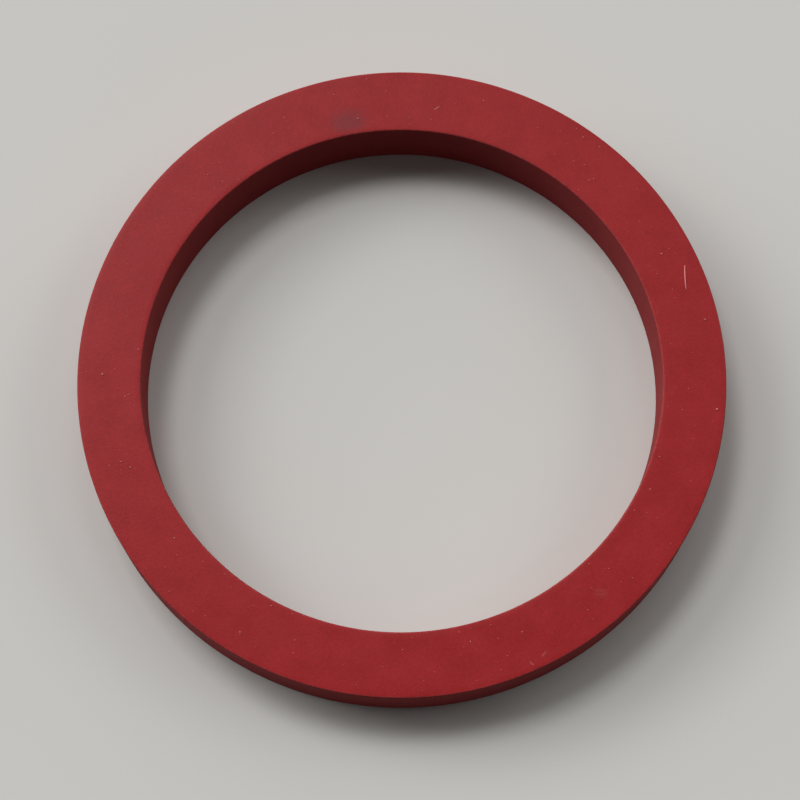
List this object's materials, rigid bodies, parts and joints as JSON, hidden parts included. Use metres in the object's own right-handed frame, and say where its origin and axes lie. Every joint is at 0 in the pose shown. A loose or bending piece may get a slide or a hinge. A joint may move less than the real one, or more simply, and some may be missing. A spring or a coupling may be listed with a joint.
{
  "type": "silicone gasket",
  "caption": "Flat red silicone ring gasket of rectangular section, squeezed between two faces to seal a round joint.",
  "frame": {"origin": "on the axis of the bore, in the plane of the lower face that the ring lies on", "axes": "+Z along the axis of the bore, out of the upper face; the ring is the same in every direction about it"},
  "size_m": [0.072, 0.072, 0.008],
  "materials": {
    "red_silicone": "matte"
  },
  "bodies": {
    "root": {"gasket_ring": "red_silicone"}
  },
  "joints": []
}
